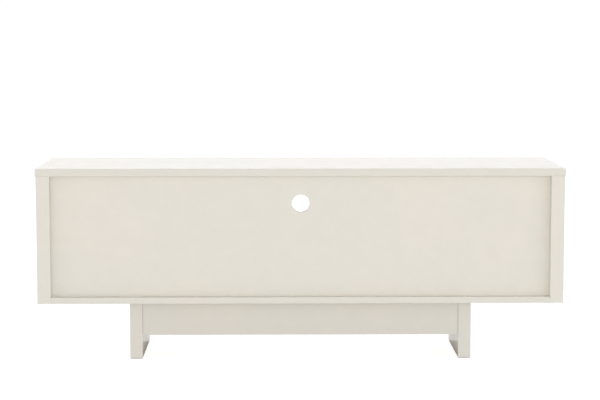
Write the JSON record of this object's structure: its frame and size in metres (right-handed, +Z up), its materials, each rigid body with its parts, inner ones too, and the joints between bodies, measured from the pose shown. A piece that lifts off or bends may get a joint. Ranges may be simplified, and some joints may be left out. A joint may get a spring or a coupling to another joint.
{
  "type": "tv stand",
  "caption": "Long low TV stand: lacquered case with a door bay at each end, an open middle bay with a shelf, a cable hole in its recessed back, on a slab-leg base.",
  "frame": {"origin": "centre of the footprint, on the floor", "axes": "+X along the width, to the right of a person who faces the front; front towards -Y; +Z up"},
  "size_m": [1.5, 0.4, 0.555],
  "materials": {
    "lacquer": "satin",
    "zinc_steel": "satin",
    "insert_brass": "satin",
    "satin_brass": "satin",
    "white_nylon": "satin",
    "magnet": "satin",
    "beech": "matte",
    "glide_felt": "matte"
  },
  "bodies": {
    "case": {"top_panel": "lacquer", "left_side": "lacquer", "right_side": "lacquer", "bottom_panel": "lacquer", "back_panel": "lacquer", "left_divider": "lacquer", "right_divider": "lacquer", "left_shelf": "lacquer", "middle_shelf": "lacquer", "right_shelf": "lacquer", "left_shelf_pins": "zinc_steel", "middle_shelf_pins": "zinc_steel", "right_shelf_pins": "zinc_steel", "dowels": "beech", "cam_bolts": "zinc_steel", "cam_locks": "zinc_steel", "divider_screws": "zinc_steel", "left_leg": "lacquer", "right_leg": "lacquer", "rear_rail": "lacquer", "front_rail": "lacquer", "base_bolts": "zinc_steel", "base_washers": "zinc_steel", "leg_inserts": "insert_brass", "left_glide": "glide_felt", "right_glide": "glide_felt", "pivot_plates": "zinc_steel", "pivot_pins": "zinc_steel", "pivot_screws": "zinc_steel", "left_catch": "white_nylon", "right_catch": "white_nylon", "catch_magnets": "magnet", "catch_screws": "zinc_steel"},
    "left_leaf": {"left_door": "lacquer", "left_bushes": "white_nylon", "left_knob": "satin_brass", "left_knob_screw": "zinc_steel", "left_strike": "zinc_steel", "left_strike_screw": "zinc_steel"},
    "right_leaf": {"right_door": "lacquer", "right_bushes": "white_nylon", "right_knob": "satin_brass", "right_knob_screw": "zinc_steel", "right_strike": "zinc_steel", "right_strike_screw": "zinc_steel"}
  },
  "joints": [
    {"name": "left_door_hinge", "type": "hinge", "parent": "case", "child": "left_leaf", "pos_m": [-0.687, -0.165, 0.3605], "axis": [0, 0, -1], "range_deg": [0, 105]},
    {"name": "right_door_hinge", "type": "hinge", "parent": "case", "child": "right_leaf", "pos_m": [0.687, -0.165, 0.3605], "axis": [0, 0, 1], "range_deg": [0, 105]}
  ]
}
